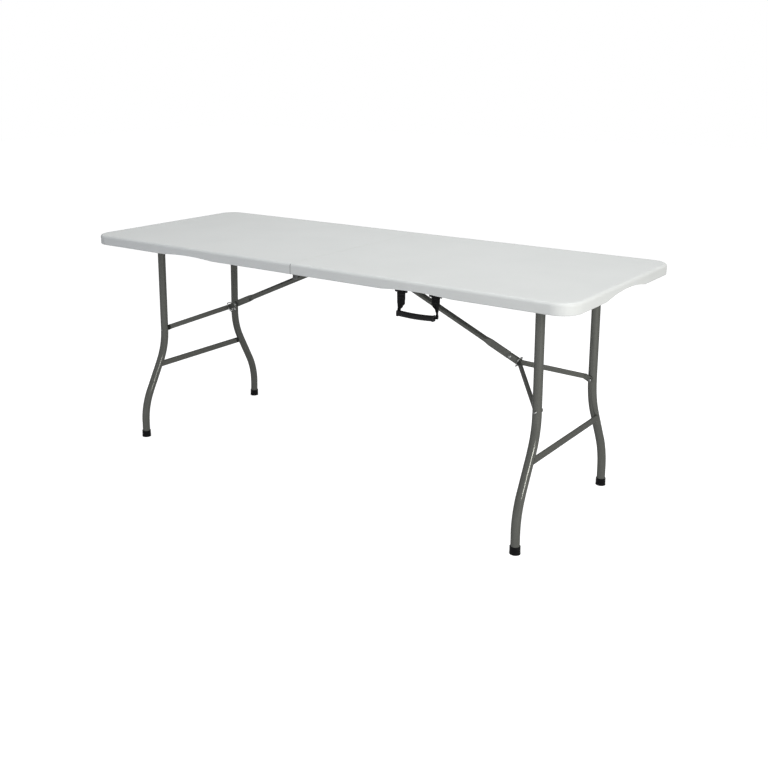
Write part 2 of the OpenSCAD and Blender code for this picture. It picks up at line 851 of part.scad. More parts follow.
// Rivet that joins a brace and its two arms.
module half_brace_rivet() {
  half_grip = arm_inner_y + arm_flat_thickness + 0.1;
  standing_brace()
    translate([brace_length, 0, 0])
      rotate([90, 0, 0]) {
        translate([0, 0, -half_grip]) cylinder(r = rivet_radius, h = 2 * half_grip);
        translate([0, 0, half_grip]) domed_head(rivet_head_radius, rivet_head_height);
        mirror([0, 0, 1]) translate([0, 0, half_grip]) domed_head(rivet_head_radius, rivet_head_height);
      }
}

// ---- Arms ----

// Moves what is drawn along +X from the rivet to where the arms stand.
module standing_arms() {
  standing_brace()
    translate([brace_length, 0, 0]) children();
}

// Front arm of the right half, drawn along +X from the rivet: a flat-oval tube
// with its ends pressed flat, splayed between two bends.
module arm() {
  splay_run = arm_length - arm_foot_length - arm_flat_length;
  splay_reach = norm([splay_run, arm_centre_outer_y - arm_centre_inner_y]);
  difference() {
    translate([arm_flat_length, -arm_centre_inner_y, 0]) {
      mirror([1, 0, 0]) flat_bar(arm_flat_length, arm_flat_height, arm_flat_thickness);
      fold_edge();
      rotate([0, 0, -arm_splay]) {
        splayed_stretch(splay_reach);
        translate([splay_reach, 0, 0])
          rotate([0, 0, arm_splay]) {
            fold_edge();
            flat_bar(arm_foot_length, arm_flat_height, arm_flat_thickness);
          }
      }
    }
    cross_hole(0, rivet_radius + running_clearance);
    cross_hole(arm_length, rivet_radius);
  }
}

// The stretch of an arm between its two bends, along +X: a tube pressed to a
// flat oval, and flatter still towards the bends.
module splayed_stretch(reach) {
  height = arm_flat_height - 2 * bend_step;
  difference() {
    intersection() {
      rotate([90, 0, 90]) oval_bar(arm_thickness, height, reach);
      arm_outline(reach, 0, arm_thickness / 2, arm_flat_thickness / 2);
    }
    intersection() {
      rotate([90, 0, 90])
        oval_bar(arm_thickness - 2 * brace_wall, height - 2 * brace_wall, reach);
      arm_outline(reach, arm_transition, arm_thickness / 2 - brace_wall, arm_flat_thickness / 2 - brace_wall);
    }
  }
}

// Outline of the splayed stretch seen from above, from inset to inset.
module arm_outline(reach, inset, half_middle, half_end) {
  full = inset + arm_transition;
  linear_extrude(2 * arm_flat_height, center = true)
    polygon([
      [inset, -half_end], [full, -half_middle], [reach - full, -half_middle], [reach - inset, -half_end],
      [reach - inset, half_end], [reach - full, half_middle], [full, half_middle], [inset, half_end]
    ]);
}

// The rounded bend between a flat and the splayed stretch of an arm.
module fold_edge() {
  cylinder(r = arm_flat_thickness / 2 + 0.1, h = arm_flat_height, center = true);
}

module half_arm(rear) {
  on_side(rear) standing_arms() arm();
}

// Nuts on the inner faces of the arms, each with a stub in the arm's eye.
module half_arm_nuts() {
  standing_arms()
    for (rear = [false, true])
      on_side(rear)
        translate([arm_length, -arm_outer_y + arm_flat_thickness, 0]) {
          rotate([90, 0, 0]) cylinder(r = rivet_radius, h = arm_flat_thickness);
          rotate([-90, 0, 0]) cylinder(r = rivet_head_radius, h = 5, $fn = 6);
        }
}

// ---- Lock ring ----

// A wire loop round the arms and the tongue of the brace.
module half_lock_ring() {
  wire = ring_wire / 2;
  turn = 3 + wire;
  half_w = ring_clear_width / 2 + wire - turn;
  half_h = ring_clear_height / 2 + wire - turn;
  standing_arms()
    translate([ring_lock_distance, 0, 0])
      rotate([90, 0, 90]) {
        for (side = [0, 180]) {
          rotate([0, 0, side]) {
            translate([half_w + turn, -half_h, 0])
              rotate([-90, 0, 0]) cylinder(r = wire, h = 2 * half_h, $fn = 24);
            translate([-half_w, half_h + turn, 0])
              rotate([0, 90, 0]) cylinder(r = wire, h = 2 * half_w, $fn = 24);
            translate([half_w, half_h, 0])
              rotate_extrude(angle = 90) translate([turn, 0]) circle(wire, $fn = 24);
            translate([-half_w, half_h, 0])
              rotate([0, 0, 90])
                rotate_extrude(angle = 90) translate([turn, 0]) circle(wire, $fn = 24);
          }
        }
      }
}

// ---- Carry handle ----

// Plates on the inner face of the front rim, each with two knuckles.
module handle_anchors() {
  plate_top = panel_bottom - rail_thickness - 2;
  color(black)
    for (place = strap_places)
      difference() {
        union() {
          translate([place - anchor_width / 2, -rim_inner_y, strap_pin_z])
            cube([anchor_width, anchor_thickness, plate_top - strap_pin_z]);
          translate([place - anchor_width / 2, strap_pin_y, strap_pin_z])
            rotate([0, 90, 0]) cylinder(r = strap_eye_radius, h = anchor_width);
        }
        translate([place - strap_width / 2 - side_clearance, -rim_inner_y - 5, strap_pin_z - 10])
          cube([strap_width + 2 * side_clearance, 20, 10 + strap_eye_radius + 1]);
        translate([place - anchor_width / 2 - 1, strap_pin_y, strap_pin_z])
          rotate([0, 90, 0]) cylinder(r = handle_pin_diameter / 2, h = anchor_width + 2);
        anchor_screw_places()
          translate([0, 1, 0]) rotate([90, 0, 0]) cylinder(r = screw_radius + 0.2, h = anchor_thickness + 2);
      }
}

// Screws that hold the anchors to the rim, with their heads under the rail.
module handle_anchor_screws() {
  color(zinc)
    anchor_screw_places()
      rotate([90, 0, 0]) {
        cylinder(r = screw_radius, h = screw_grip + anchor_thickness);
        mirror([0, 0, 1]) domed_head(screw_radius * 2, anchor_head_height);
      }
}

// Puts its children at the inner end of each anchor screw.
module anchor_screw_places() {
  for (place = strap_places, shift = [-anchor_screw_shift, anchor_screw_shift])
    translate([place + shift, -rim_inner_y + anchor_thickness, anchor_screw_z]) children();
}

// Pins that the straps hang from.
module handle_pins() {
  pin_length = anchor_width + 1;
  color(zinc)
    for (place = strap_places)
      translate([place - pin_length / 2, strap_pin_y, strap_pin_z])
        rotate([0, 90, 0]) cylinder(r = handle_pin_diameter / 2, h = pin_length);
}

// Outline of the left strap from its pin down into the grip, which it enters
// near the grip's end.
module strap_outline() {
  half = strap_width / 2;
  grip_end = strap_shift - grip_length / 2;
  straight = strap_length - strap_gather;
  polygon([
    [-half, 0], [half, 0],
    [half, -straight],
    [grip_end + strap_inset + strap_tab, -strap_length + grip_diameter / 2],
    [grip_end + strap_inset + strap_tab, -strap_length],
    [grip_end + strap_inset, -strap_length],
    [grip_end + strap_inset, -strap_length + grip_diameter / 2],
    [-half, -straight]
  ]);
}

module strap_solid() {
  difference() {
    union() {
      standing(strap_thickness / 2, strap_thickness) strap_outline();
      translate([-strap_width / 2, 0, 0])
        rotate([0, 90, 0]) cylinder(r = strap_eye_radius, h = strap_width);
    }
    translate([-strap_width, 0, 0])
      rotate([0, 90, 0]) cylinder(r = handle_pin_diameter / 2 + running_clearance, h = 2 * strap_width);
  }
}

// Puts a left strap's form at one end of the handle.
module at_strap(left) {
  translate([handle_position, strap_pin_y, strap_pin_z])
    on_half(!left)
      translate([-strap_shift, 0, 0]) children();
}

module handle_strap(left) {
  color(black) at_strap(left) strap_solid();
}

// The grip, with a collar at each end and a slot for each strap.
module handle_grip() {
  color(black)
    difference() {
      translate([handle_position - grip_length / 2, strap_pin_y, strap_pin_z - strap_length])
        rotate([0, 90, 0]) {
          cylinder(r = grip_diameter / 2 - 1, h = grip_length);
          for (start = [0, grip_length - grip_collar])
            translate([0, 0, start]) cylinder(r = grip_diameter / 2, h = grip_collar);
        }
      for (left = [true, false])
        at_strap(left) standing(strap_thickness / 2, strap_thickness) strap_outline();
    }
}

// ---- Nodes ----

module left_top() { color(plastic) on_half(true) top_half(); }

module right_top() {
  color(plastic)
    difference() {
      top_half();
      anchor_screw_places()
        rotate([90, 0, 0]) cylinder(r = screw_radius, h = screw_grip + anchor_thickness);
    }
}

left_top();
right_top();
color(dark_steel) on_half(true) rail(false);  // left_rail_front
color(dark_steel) on_half(true) rail(true);  // left_rail_rear
color(dark_steel) rail(false);  // right_rail_front
color(dark_steel) rail(true);  // right_rail_rear
color(zinc) on_half(true) half_rail_screws();  // left_rail_screws
color(zinc) half_rail_screws();  // right_rail_screws
left_hinge_plate(false);  // left_hinge_plate_front
left_hinge_plate(true);  // left_hinge_plate_rear
right_hinge_plate(false);  // right_hinge_plate_front
right_hinge_plate(true);  // right_hinge_plate_rear
centre_hinge_pins();
color(black) on_half(true) half_pivot_bushes();  // left_pivot_bushes
color(black) half_pivot_bushes();  // right_pivot_bushes
color(steel) on_half(true) half_brace_rod();  // left_brace_rod
color(steel) half_brace_rod();  // right_brace_rod
color(black) on_half(true) half_rod_collars();  // left_rod_collars
color(black) half_rod_collars();  // right_rod_collars
color(steel) on_half(true) cross_tube();  // left_cross_tube
color(steel) cross_tube();  // right_cross_tube
color(steel) on_half(true) leg(false);  // left_leg_front
color(steel) on_half(true) leg(true);  // left_leg_rear
color(steel) leg(false);  // right_leg_front
color(steel) leg(true);  // right_leg_rear
color(steel) on_half(true) crossbar();  // left_crossbar
color(steel) crossbar();  // right_crossbar
color(black) on_half(true) foot_cap(false);  // left_foot_cap_front
color(black) on_half(true) foot_cap(true);  // left_foot_cap_rear
color(black) foot_cap(false);  // right_foot_cap_front
color(black) foot_cap(true);  // right_foot_cap_rear
color(zinc) on_half(true) half_leg_bolts();  // left_leg_bolts
color(zinc) half_leg_bolts();  // right_leg_bolts
color(steel) on_half(true) half_brace();  // left_brace
color(steel) half_brace();  // right_brace
color(zinc) on_half(true) half_brace_rivet();  // left_brace_rivet
color(zinc) half_brace_rivet();  // right_brace_rivet
color(steel) on_half(true) half_arm(false);  // left_arm_front
color(steel) on_half(true) half_arm(true);  // left_arm_rear
color(steel) half_arm(false);  // right_arm_front
color(steel) half_arm(true);  // right_arm_rear
color(zinc) on_half(true) half_arm_nuts();  // left_arm_nuts
color(zinc) half_arm_nuts();  // right_arm_nuts
color(zinc) on_half(true) half_lock_ring();  // left_lock_ring
color(zinc) half_lock_ring();  // right_lock_ring
handle_anchors();
handle_anchor_screws();
handle_pins();
handle_strap(true);  // handle_strap_left
handle_strap(false);  // handle_strap_right
handle_grip();
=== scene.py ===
import math
import bmesh
import bpy
from mathutils import Matrix, Vector


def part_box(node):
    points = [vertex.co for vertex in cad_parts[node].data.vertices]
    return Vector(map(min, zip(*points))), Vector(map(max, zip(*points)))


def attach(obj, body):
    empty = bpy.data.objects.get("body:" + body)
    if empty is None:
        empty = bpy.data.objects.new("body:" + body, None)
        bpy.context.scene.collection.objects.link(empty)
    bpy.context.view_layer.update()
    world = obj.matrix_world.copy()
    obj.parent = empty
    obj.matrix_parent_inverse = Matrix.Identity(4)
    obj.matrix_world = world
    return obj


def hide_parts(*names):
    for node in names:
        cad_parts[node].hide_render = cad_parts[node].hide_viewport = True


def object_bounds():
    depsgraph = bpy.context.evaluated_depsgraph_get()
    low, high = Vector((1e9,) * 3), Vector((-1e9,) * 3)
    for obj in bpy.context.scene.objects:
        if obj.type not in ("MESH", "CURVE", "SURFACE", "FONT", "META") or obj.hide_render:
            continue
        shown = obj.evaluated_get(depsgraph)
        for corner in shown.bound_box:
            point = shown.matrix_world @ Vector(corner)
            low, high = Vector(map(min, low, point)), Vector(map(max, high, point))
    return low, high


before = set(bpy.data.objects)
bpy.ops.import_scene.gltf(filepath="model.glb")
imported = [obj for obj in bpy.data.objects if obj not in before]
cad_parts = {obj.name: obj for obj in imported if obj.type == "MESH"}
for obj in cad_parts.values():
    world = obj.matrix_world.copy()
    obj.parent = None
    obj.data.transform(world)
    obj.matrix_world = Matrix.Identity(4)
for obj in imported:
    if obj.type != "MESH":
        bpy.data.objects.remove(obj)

cad_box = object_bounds()


# ---- Camera, studio and floor ----
# The table stands on a plain white floor in soft light that comes mostly from
# its right-hand end, and is looked at from a standing person's height.

camera_place = (1.851, -2.525, 1.2995)
camera_turn = math.radians(37.5)
camera_tilt = math.radians(17.95)
camera_roll = math.radians(-0.235)
white = (1, 1, 1, 1)
sky_colour = (0.93, 0.96, 1.0, 1)
sky_strength = 0.12
floor_colour = (0.5, 0.5, 0.5, 1)
floor_reach = 14
lift_near = 0.9
lift_far = 1.0
near_the_table = 2.5
far_away = 7

camera_data = bpy.data.cameras.new("camera")
camera_data.sensor_width = 36
camera_data.lens = 45.6
camera_data.shift_x = 0.0585
camera_data.shift_y = -0.005
camera = bpy.data.objects.new("camera", camera_data)
bpy.context.collection.objects.link(camera)
camera.matrix_world = (
    Matrix.Translation(camera_place)
    @ Matrix.Rotation(camera_turn, 4, "Z")
    @ Matrix.Rotation(math.radians(90) - camera_tilt, 4, "X")
    @ Matrix.Rotation(camera_roll, 4, "Z")
)
bpy.context.scene.camera = camera
bpy.context.scene.view_settings.view_transform = "Standard"


def seen_directly(tree):
    """1 for camera, glossy and transmission rays, 0 for diffuse light."""
    path = tree.nodes.new("ShaderNodeLightPath")
    sight = path.outputs["Is Camera Ray"]
    for kind in ("Is Glossy Ray", "Is Transmission Ray"):
        either = tree.nodes.new("ShaderNodeMath")
        either.operation = "MAXIMUM"
        tree.links.new(sight, either.inputs[0])
        tree.links.new(path.outputs[kind], either.inputs[1])
        sight = either.outputs[0]
    return sight


world = bpy.data.worlds.new("studio")
bpy.context.scene.world = world
world.use_nodes = True
air = world.node_tree
air.nodes.clear()
air_out = air.nodes.new("ShaderNodeOutputWorld")
soft_sky = air.nodes.new("ShaderNodeBackground")
soft_sky.inputs["Color"].default_value = sky_colour
soft_sky.inputs["Strength"].default_value = sky_strength
white_sky = air.nodes.new("ShaderNodeBackground")
white_sky.inputs["Color"].default_value = white
white_sky.inputs["Strength"].default_value = 1.0
sky_mix = air.nodes.new("ShaderNodeMixShader")
air.links.new(seen_directly(air), sky_mix.inputs["Fac"])
air.links.new(soft_sky.outputs[0], sky_mix.inputs[1])
air.links.new(white_sky.outputs[0], sky_mix.inputs[2])
air.links.new(sky_mix.outputs[0], air_out.inputs["Surface"])

# The floor glows to white only where it is looked at, a little less near the
# table, so that the table's shadow can still be seen on it.
floor_finish = bpy.data.materials.new("floor_finish")
floor_finish.use_nodes = True
ground = floor_finish.node_tree
ground.nodes.clear()
ground_out = ground.nodes.new("ShaderNodeOutputMaterial")
ground_paint = ground.nodes.new("ShaderNodeBsdfDiffuse")
ground_paint.inputs["Color"].default_value = floor_colour
ground_glow = ground.nodes.new("ShaderNodeEmission")
ground_glow.inputs["Color"].default_value = white
ground_place = ground.nodes.new("ShaderNodeTexCoord")
ground_away = ground.nodes.new("ShaderNodeVectorMath")
ground_away.operation = "LENGTH"
ground_fill = ground.nodes.new("ShaderNodeMapRange")
ground_fill.inputs["From Min"].default_value = near_the_table
ground_fill.inputs["From Max"].default_value = far_away
ground_fill.inputs["To Min"].default_value = lift_near
ground_fill.inputs["To Max"].default_value = lift_far
ground_lift = ground.nodes.new("ShaderNodeMath")
ground_lift.operation = "MULTIPLY"
ground_sum = ground.nodes.new("ShaderNodeAddShader")
ground.links.new(ground_place.outputs["Object"], ground_away.inputs[0])
ground.links.new(ground_away.outputs["Value"], ground_fill.inputs["Value"])
ground.links.new(seen_directly(ground), ground_lift.inputs[0])
ground.links.new(ground_fill.outputs["Result"], ground_lift.inputs[1])
ground.links.new(ground_lift.outputs[0], ground_glow.inputs["Strength"])
ground.links.new(ground_paint.outputs[0], ground_sum.inputs[0])
ground.links.new(ground_glow.outputs[0], ground_sum.inputs[1])
ground.links.new(ground_sum.outputs[0], ground_out.inputs["Surface"])

floor_mesh = bpy.data.meshes.new("floor")
floor_build = bmesh.new()
bmesh.ops.create_grid(floor_build, x_segments=1, y_segments=1, size=floor_reach)
floor_build.to_mesh(floor_mesh)
floor_build.free()
floor = bpy.data.objects.new("floor", floor_mesh)
floor_mesh.materials.append(floor_finish)
bpy.context.collection.objects.link(floor)


def soft_lamp(name, place, target, size, power, colour, mirrored=True):
    """A rectangular lamp that faces target, and shows in gloss if mirrored."""
    lamp_data = bpy.data.lights.new(name, "AREA")
    lamp_data.shape = "RECTANGLE"
    lamp_data.size = size[0]
    lamp_data.size_y = size[1]
    lamp_data.energy = power
    lamp_data.color = colour
    lamp = bpy.data.objects.new(name, lamp_data)
    bpy.context.collection.objects.link(lamp)
    lamp.visible_glossy = mirrored
    aim = Vector(target) - Vector(place)
    turn = aim.to_track_quat("-Z", "Y").to_matrix().to_4x4()
    lamp.matrix_world = Matrix.Translation(place) @ turn


soft_lamp(
    "key_lamp", place=(3.6, -1.6, 1.7), target=(0.4, 0, 0.55),
    size=(0.8, 1.6), power=106, colour=(1.0, 0.99, 0.965),
)
soft_lamp(
    "top_lamp", place=(0.2, 0.3, 3.4), target=(0, 0, 0.7),
    size=(3.6, 2.6), power=69, colour=(1.0, 1.0, 1.0),
)
soft_lamp(
    "front_lamp", place=(-0.9, -3.9, 1.5), target=(-0.1, 0, 0.55),
    size=(0.6, 1.8), power=42, colour=(0.9, 0.92, 1.0), mirrored=False,
)


# ---- Moulded top ----
# Each half is one blow moulding in pale grey high-density polyethylene, with a
# fine pebble grain from the mould on every outer face. The seam between them
# gets painted shade: a dark line on the skirts, hardly any on the top face.

top_grey = (0.63, 0.645, 0.635, 1)
top_grey_worn = (0.612, 0.628, 0.618, 1)
top_roughness = (0.52, 0.62)
cloud_pitch = 0.16
cloud_range = (0.35, 0.7)
swell_pitch = 0.06
swell_height = 0.0006
pebble_pitch = 0.0011
pebble_height = 0.00012
# Colour of the painted shade in the seam gap between the halves.
seam_painted_shade = (0.1, 0.1, 0.098, 1)
seam_shade_width = 0.0007
painted_shade_on_top = 0.05
painted_shade_on_skirt = 0.85

# The painted shade in the seam darkens between these depths inside the outer face of the rim.
skirt_depth = (0.006, 0.002)

# Most of what a noise gives lies between these.
usual_noise = (0.3, 0.7)


def new_finish(name):
    finish = bpy.data.materials.new(name)
    finish.use_nodes = True
    paint = finish.node_tree.nodes["Principled BSDF"]
    return finish, finish.node_tree, paint


def object_space(tree):
    return tree.nodes.new("ShaderNodeTexCoord").outputs["Object"]


def noise_of(tree, space, pitch, detail=2.0, roughness=0.5):
    """A noise whose spots are about pitch metres apart."""
    noise = tree.nodes.new("ShaderNodeTexNoise")
    noise.inputs["Scale"].default_value = 1 / pitch
    noise.inputs["Detail"].default_value = detail
    noise.inputs["Roughness"].default_value = roughness
    tree.links.new(space, noise.inputs["Vector"])
    return noise.outputs["Fac"]


def spread(tree, value, between, result=(0, 1)):
    """Carries value over from the range between to the range result."""
    remap = tree.nodes.new("ShaderNodeMapRange")
    ends = zip(("From Min", "From Max", "To Min", "To Max"), (*between, *result))
    for name, end in ends:
        remap.inputs[name].default_value = end
    tree.links.new(value, remap.inputs["Value"])
    return remap.outputs["Result"]


def put_in(tree, value, socket):
    """Links value if it is a socket, and writes it in if it is plain."""
    if isinstance(value, bpy.types.NodeSocket):
        tree.links.new(value, socket)
    else:
        socket.default_value = value


def blend_colours(tree, amount, colour_a, colour_b):
    mix = tree.nodes.new("ShaderNodeMix")
    mix.data_type = "RGBA"
    put_in(tree, colour_a, mix.inputs["A"])
    put_in(tree, colour_b, mix.inputs["B"])
    tree.links.new(amount, mix.inputs["Factor"])
    return mix.outputs["Result"]


def reckon(tree, operation, first, second):
    """Math on two values, each a socket or a plain number."""
    math_node = tree.nodes.new("ShaderNodeMath")
    math_node.operation = operation
    put_in(tree, first, math_node.inputs[0])
    put_in(tree, second, math_node.inputs[1])
    return math_node.outputs[0]


def raise_surface(tree, paint, height, distance, before=None):
    """Bump of that height in metres, on top of an earlier bump."""
    bump = tree.nodes.new("ShaderNodeBump")
    bump.inputs["Distance"].default_value = distance
    tree.links.new(height, bump.inputs["Height"])
    if before:
        tree.links.new(before, bump.inputs["Normal"])
    tree.links.new(bump.outputs["Normal"], paint.inputs["Normal"])
    return bump.outputs["Normal"]


def set_roughness(tree, paint, value, between, roughness):
    """Roughness that follows value over the range between."""
    tree.links.new(spread(tree, value, between, roughness), paint.inputs["Roughness"])


def set_colour(tree, paint, amount, colour_a, colour_b):
    """Base colour that goes from colour_a to colour_b with amount."""
    tree.links.new(blend_colours(tree, amount, colour_a, colour_b), paint.inputs["Base Color"])


moulded_plastic, plastic_tree, plastic_paint = new_finish("moulded_plastic")
plastic_space = object_space(plastic_tree)
clouds = noise_of(plastic_tree, plastic_space, cloud_pitch, detail=3)
cloudy = spread(plastic_tree, clouds, cloud_range)
skin = blend_colours(plastic_tree, cloudy, top_grey, top_grey_worn)

place_on_top = plastic_tree.nodes.new("ShaderNodeSeparateXYZ")
plastic_tree.links.new(plastic_space, place_on_top.inputs[0])
# Painted shade: the seam gap between the halves is darkened in the colour, strongly on the
# skirts, faintly on the top face.
from_seam = reckon(plastic_tree, "ABSOLUTE", place_on_top.outputs["X"], 0)
from_middle = reckon(plastic_tree, "ABSOLUTE", place_on_top.outputs["Y"], 0)
in_seam = spread(plastic_tree, from_seam, (seam_shade_width, seam_shade_width * 2), (1, 0))
rim_edge = [cad_box[1][1] - depth for depth in skirt_depth]
seam_shade_here = spread(plastic_tree, from_middle, rim_edge, (painted_shade_on_top, painted_shade_on_skirt))
seam_shade_amount = reckon(plastic_tree, "MULTIPLY", in_seam, seam_shade_here)
set_colour(plastic_tree, plastic_paint, seam_shade_amount, skin, seam_painted_shade)

swell = noise_of(plastic_tree, plastic_space, swell_pitch, detail=1)
pebbles = noise_of(plastic_tree, plastic_space, pebble_pitch, detail=1.5)
swollen = raise_surface(plastic_tree, plastic_paint, swell, swell_height)
raise_surface(plastic_tree, plastic_paint, pebbles, pebble_height, before=swollen)
set_roughness(plastic_tree, plastic_paint, pebbles, usual_noise, top_roughness)
plastic_paint.inputs["Specular IOR Level"].default_value = 0.36
plastic_paint.inputs["IOR"].default_value = 1.5


def dress(names, finish):
    """Gives the named CAD nodes one finish on all their material slots."""
    for name in names:
        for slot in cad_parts[name].material_slots:
            slot.material = finish


def dress_halves(names, finish):
    """The same for the nodes of that name on each half of the table."""
    for half in ("left", "right"):
        dress([half + "_" + name for name in names], finish)


dress_halves(["top"], moulded_plastic)


# ---- Leg frames, braces and arms ----
# Steel tube, bent, welded and pressed flat at the ends, under a dark grey
# hammertone powder coat that gathers in small shiny dimples.

coat_grey = (0.118, 0.12, 0.111, 1)
coat_dark = (0.097, 0.099, 0.09, 1)
coat_edge = (0.15, 0.15, 0.145, 1)
coat_roughness = (0.13, 0.18)
dimple_pitch = 0.0022
dimple_range = (0.1, 0.75)
dimple_depth = 0.00005
flow_pitch = 0.0035

hammertone, hammer_tree, hammer_paint = new_finish("hammertone_coat")
hammer_space = object_space(hammer_tree)
dimple_cells = hammer_tree.nodes.new("ShaderNodeTexVoronoi")
dimple_cells.feature = "SMOOTH_F1"
dimple_cells.inputs["Scale"].default_value = 1 / dimple_pitch
dimple_cells.inputs["Smoothness"].default_value = 0.6
hammer_tree.links.new(hammer_space, dimple_cells.inputs["Vector"])
dimples = dimple_cells.outputs["Distance"]
flow = noise_of(hammer_tree, hammer_space, flow_pitch, detail=2)
in_dimple = spread(hammer_tree, dimples, dimple_range)
set_colour(hammer_tree, hammer_paint, in_dimple, coat_grey, coat_dark)
flowed = raise_surface(hammer_tree, hammer_paint, flow, dimple_depth)
raise_surface(hammer_tree, hammer_paint, dimples, dimple_depth, before=flowed)
set_roughness(hammer_tree, hammer_paint, flow, usual_noise, coat_roughness)
hammer_paint.inputs["Metallic"].default_value = 0.36
hammer_paint.inputs["Specular IOR Level"].default_value = 0.05
hammer_paint.inputs["Specular Tint"].default_value = coat_edge

dress_halves(["cross_tube", "leg_front", "leg_rear", "crossbar"], hammertone)
dress_halves(["brace", "brace_rod", "arm_front", "arm_rear"], hammertone)


# ---- Rails and centre hinges ----
# Folded and punched sheet steel under a satin charcoal powder coat, with the
# hinge pins coated like it.

rail_grey = (0.05, 0.052, 0.052, 1)
rail_grey_dusty = (0.085, 0.087, 0.085, 1)
rail_roughness = (0.38, 0.5)
dust_pitch = 0.03
dust_range = (0.4, 0.75)
peel_pitch = 0.0012
peel_height = 0.00006

satin_coat, satin_tree, satin_paint = new_finish("satin_coat")
satin_space = object_space(satin_tree)
dust = noise_of(satin_tree, satin_space, dust_pitch, detail=4)
dusty = spread(satin_tree, dust, dust_range)
set_colour(satin_tree, satin_paint, dusty, rail_grey, rail_grey_dusty)
orange_peel = noise_of(satin_tree, satin_space, peel_pitch, detail=2)
raise_surface(satin_tree, satin_paint, orange_peel, peel_height)
set_roughness(satin_tree, satin_paint, orange_peel, usual_noise, rail_roughness)
satin_paint.inputs["Metallic"].default_value = 0.2

dress_halves(["rail_front", "rail_rear", "hinge_plate_front", "hinge_plate_rear"], satin_coat)
dress(["centre_hinge_pins"], satin_coat)


# ---- Screws and rivets ----
# The screws of the rails, the rivets of the braces and the pins and screws of
# the carry handle are steel with a bright zinc plating, dulled by handling.

zinc_bright = (0.3, 0.307, 0.3, 1)
zinc_dull = (0.12, 0.123, 0.12, 1)
zinc_roughness = (0.22, 0.42)
handling_pitch = 0.004
handling_range = (0.35, 0.7)
scratch_pitch = 0.0008
scratch_depth = 0.00002

zinc_plate, zinc_tree, zinc_paint = new_finish("zinc_plate")
zinc_space = object_space(zinc_tree)
handling = noise_of(zinc_tree, zinc_space, handling_pitch, detail=4)
dulled = spread(zinc_tree, handling, handling_range)
set_colour(zinc_tree, zinc_paint, dulled, zinc_bright, zinc_dull)
set_roughness(zinc_tree, zinc_paint, handling, usual_noise, zinc_roughness)
scratches = noise_of(zinc_tree, zinc_space, scratch_pitch, detail=2)
raise_surface(zinc_tree, zinc_paint, scratches, scratch_depth)
zinc_paint.inputs["Metallic"].default_value = 1.0

dress_halves(["rail_screws", "brace_rivet"], zinc_plate)
dress(["handle_anchor_screws", "handle_pins"], zinc_plate)


# ---- Lock rings, leg bolts and nuts ----
# A loop of steel wire on each brace slides over the root of the arms and keeps
# the joint straight. Its plating is dark and rubbed bright by the sliding, and
# the bolts of the arms are plated like it.

plating_dark = (0.09, 0.092, 0.09, 1)
plating_rubbed = (0.5, 0.51, 0.5, 1)
plating_roughness = (0.42, 0.2)
rub_pitch = 0.007
rub_range = (0.5, 0.62)
graze_pitch = 0.0007
graze_depth = 0.00003

dark_plating, plating_tree, plating_paint = new_finish("dark_plating")
plating_space = object_space(plating_tree)
rubbed = noise_of(plating_tree, plating_space, rub_pitch, detail=3, roughness=0.6)
worn_bright = spread(plating_tree, rubbed, rub_range)
set_colour(plating_tree, plating_paint, worn_bright, plating_dark, plating_rubbed)
set_roughness(plating_tree, plating_paint, rubbed, usual_noise, plating_roughness)
grazes = noise_of(plating_tree, plating_space, graze_pitch, detail=2)
raise_surface(plating_tree, plating_paint, grazes, graze_depth)
plating_paint.inputs["Metallic"].default_value = 1.0

dress_halves(["lock_ring", "leg_bolts", "arm_nuts"], dark_plating)


# ---- Foot caps, bushes and collars ----
# Rubber caps are pushed on the ends of the legs. The bushes of the cross tubes,
# the collars on the brace rods and the screwed-on anchors of the carry handle
# are black moulded plastic.

rubber_black = (0.004, 0.004, 0.0045, 1)
rubber_scuffed = (0.013, 0.013, 0.014, 1)
rubber_roughness = (0.5, 0.68)
scuff_pitch = 0.006
scuff_colour_range = (0.5, 0.8)
scuff_gloss_range = (0.3, 0.8)
rubber_grain_pitch = 0.0007
rubber_grain_height = 0.00005

black_rubber, rubber_tree, rubber_paint = new_finish("black_rubber")
rubber_space = object_space(rubber_tree)
scuffs = noise_of(rubber_tree, rubber_space, scuff_pitch, detail=5, roughness=0.65)
scuffed = spread(rubber_tree, scuffs, scuff_colour_range)
set_colour(rubber_tree, rubber_paint, scuffed, rubber_black, rubber_scuffed)
rubber_grain = noise_of(rubber_tree, rubber_space, rubber_grain_pitch)
raise_surface(rubber_tree, rubber_paint, rubber_grain, rubber_grain_height)
set_roughness(rubber_tree, rubber_paint, scuffs, scuff_gloss_range, rubber_roughness)
rubber_paint.inputs["Specular IOR Level"].default_value = 0.06

dress_halves(["foot_cap_front", "foot_cap_rear", "pivot_bushes", "rod_collars"], black_rubber)
dress(["handle_anchors"], black_rubber)


# ---- Carry straps ----
# Two black webbing straps hang on pins inside the rim. Each goes round its pin,
# is sewn to itself, hangs flat, and bunches up where it goes into the grip.

webbing_width = 0.026
webbing_gauge = 0.0013
loop_radius = 0.0023
loop_start = math.radians(-60)
loop_turn = math.radians(300)
sewn_length = 0.022
sewn_gap = 0.0008
strap_drop = 0.0625
parting_length = 0.006
pleats = 2
pleat_depth = 0.0026
steps_across = 28
steps_along = 84
weave_black = (0.003, 0.003, 0.0034, 1)
weave_grey = (0.016, 0.016, 0.017, 1)
weave_roughness = (0.85, 0.6)
weft_scale = 5.2
warp_scale = 26
thread_waver = 0.4
weave_height = 0.0003

# How far below the pin, and where the strap's two edges are there.
strap_edges = {
    "left": (
        (0.0, -0.013, 0.013), (0.033, -0.013, 0.013), (0.044, -0.0126, 0.0052),
        (0.052, -0.0122, -0.0018), (0.0625, -0.0105, -0.0022),
    ),
    "right": (
        (0.0, -0.013, 0.013), (0.022, -0.0115, 0.0125), (0.029, -0.0105, 0.0102),
        (0.037, -0.0015, 0.0094), (0.047, 0.0034, 0.0076), (0.055, 0.0018, 0.0092),
        (0.0625, 0.0, 0.0088),
    ),
}

